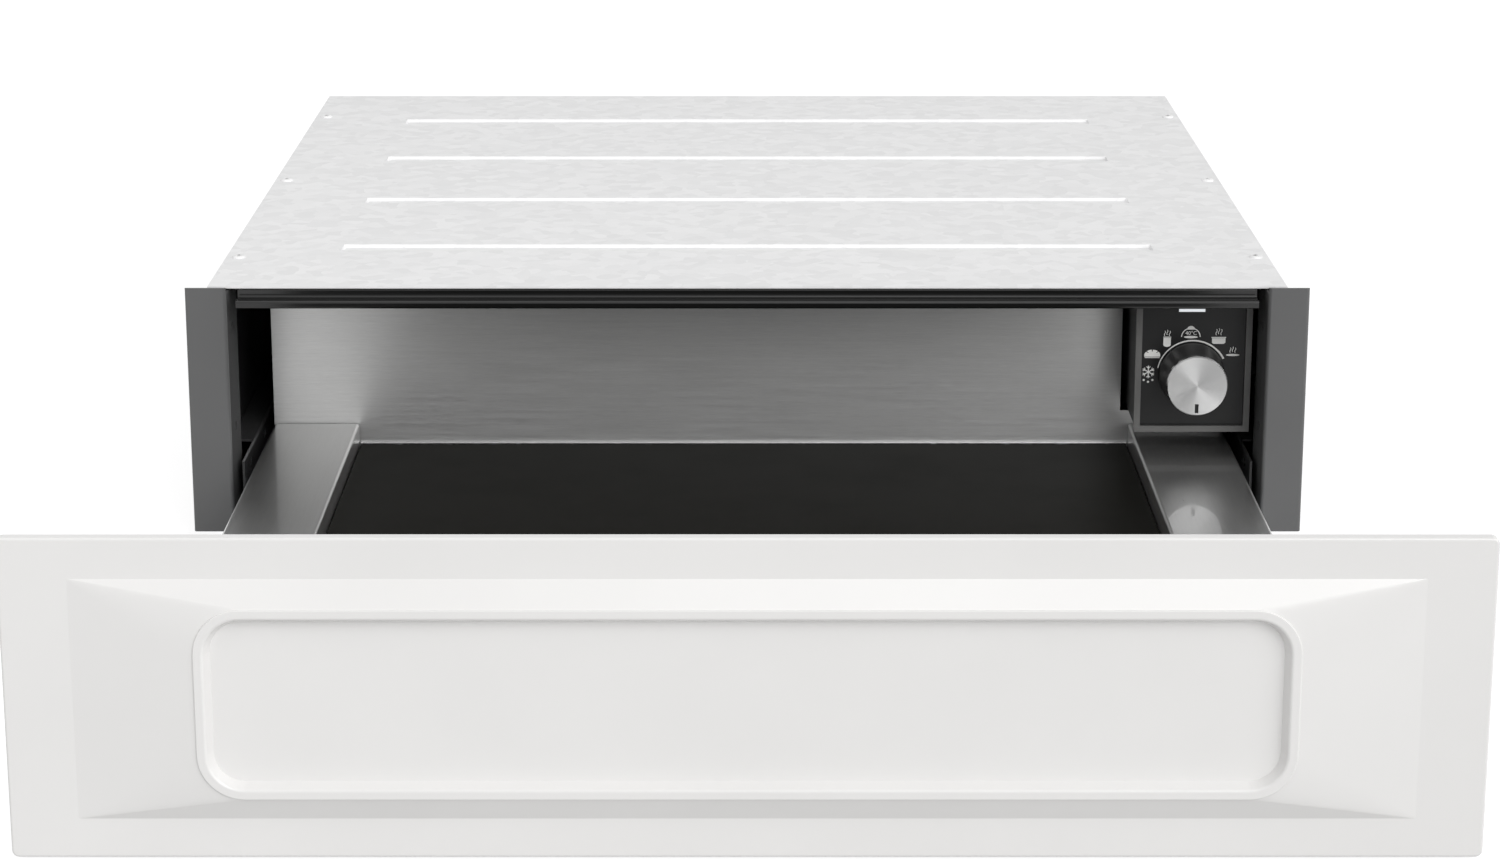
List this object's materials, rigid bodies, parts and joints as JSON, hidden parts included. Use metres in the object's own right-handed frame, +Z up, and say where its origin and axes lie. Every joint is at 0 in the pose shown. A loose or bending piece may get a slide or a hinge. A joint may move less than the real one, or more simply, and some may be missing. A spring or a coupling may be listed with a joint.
{
  "type": "built-in warming drawer",
  "caption": "Built-in warming drawer with an embossed white front, full-extension runners, glass base, dial control box and a fan-heated rear compartment in a sheet-metal casing.",
  "frame": {"origin": "middle of the casing's flat underside, between its left and right sides and between its flange face and its back", "axes": "+X to the right as seen from the front, +Y from the front towards the back of the niche, +Z up; the drawer is stored pulled out, towards -Y"},
  "size_m": [0.597, 0.9748, 0.1368],
  "materials": {
    "galvanised_steel": "bright galvanised sheet",
    "dark_paint": "satin dark grey powder coat",
    "black_paint": "satin black coat",
    "zinc_runner": "bright zinc plate",
    "stainless": "brushed lengthwise",
    "coated_pan": "satin grey coat",
    "white_enamel": "gloss enamel",
    "black_glass": "gloss, opaque",
    "black_plastic": "fine texture",
    "grey_plastic": "satin",
    "white_lens": "opal",
    "spun_aluminium": "spun",
    "roller_plastic": "natural",
    "rotor_aluminium": "satin",
    "motor_steel": "laminated, varnished",
    "heater_steel": "dull oxidised",
    "sensor_brass": "satin",
    "shaft_steel": "turned",
    "screw_steel": "zinc plate",
    "bumper_rubber": "soft black"
  },
  "bodies": {
    "cabinet": {"base_plate": "galvanised_steel", "left_side_panel": "black_paint", "right_side_panel": "black_paint", "back_panel": "galvanised_steel", "top_cover": "galvanised_steel", "left_front_flange": "dark_paint", "right_front_flange": "dark_paint", "top_front_rail": "dark_paint", "rear_partition": "galvanised_steel", "left_runner_bracket": "black_paint", "right_runner_bracket": "black_paint", "left_fixed_rail": "zinc_runner", "right_fixed_rail": "zinc_runner", "control_housing": "black_plastic", "control_frame": "grey_plastic", "control_fascia": "black_plastic", "lamp_lens": "white_lens", "rotary_switch": "black_plastic", "wiring_duct": "black_plastic", "blower_housing": "galvanised_steel", "blower_motor": "motor_steel", "heater_element": "heater_steel", "safety_cutout": "sensor_brass", "air_sensor": "sensor_brass", "terminal_block": "black_plastic", "cable_gland": "black_plastic", "latch_body": "black_plastic", "cover_screws": "screw_steel", "flange_screws": "screw_steel", "runner_screws": "screw_steel"},
    "drawer": {"front_panel": "white_enamel", "front_carrier": "coated_pan", "drawer_pan": "coated_pan", "glass_base": "black_glass", "left_ledge": "stainless", "right_ledge": "stainless", "drawer_back_wall": "stainless", "glass_rear_trim": "stainless", "left_drawer_rail": "zinc_runner", "right_drawer_rail": "zinc_runner", "front_bumpers": "bumper_rubber", "drawer_rail_screws": "screw_steel", "front_screws": "screw_steel"},
    "left_middle_runner": {"left_mid_rail": "zinc_runner", "left_roller_strips": "roller_plastic"},
    "right_middle_runner": {"right_mid_rail": "zinc_runner", "right_roller_strips": "roller_plastic"},
    "knob": {"knob_cap": "spun_aluminium", "knob_index": "black_plastic", "knob_skirt": "black_plastic", "knob_shaft": "shaft_steel"},
    "fan": {"blower_rotor": "rotor_aluminium"},
    "plunger": {"latch_plunger": "grey_plastic"}
  },
  "joints": [
    {"name": "drawer_slide", "type": "slide", "parent": "cabinet", "child": "drawer", "axis": [0, 1, 0], "range_m": [0, 0.398]},
    {"name": "left_runner_slide", "type": "slide", "parent": "cabinet", "child": "left_middle_runner", "axis": [0, 1, 0], "range_m": [0, 0.199]},
    {"name": "right_runner_slide", "type": "slide", "parent": "cabinet", "child": "right_middle_runner", "axis": [0, 1, 0], "range_m": [0, 0.199]},
    {"name": "knob_turn", "type": "hinge", "parent": "cabinet", "child": "knob", "pos_m": [0.2341, -0.254, 0.082], "axis": [0, 1, 0], "range_deg": [0, 240]},
    {"name": "fan_spin", "type": "hinge", "parent": "cabinet", "child": "fan", "pos_m": [-0.025, 0.244, 0.06], "axis": [1, 0, 0], "continuous": true},
    {"name": "plunger_slide", "type": "slide", "parent": "cabinet", "child": "plunger", "axis": [0, 1, 0], "range_m": [0, 0.008], "stiffness_N_per_m": 200}
  ],
  "couplings": [
    {"joint": "left_runner_slide", "follows": "drawer_slide", "ratio": 0.5},
    {"joint": "right_runner_slide", "follows": "drawer_slide", "ratio": 0.5}
  ]
}
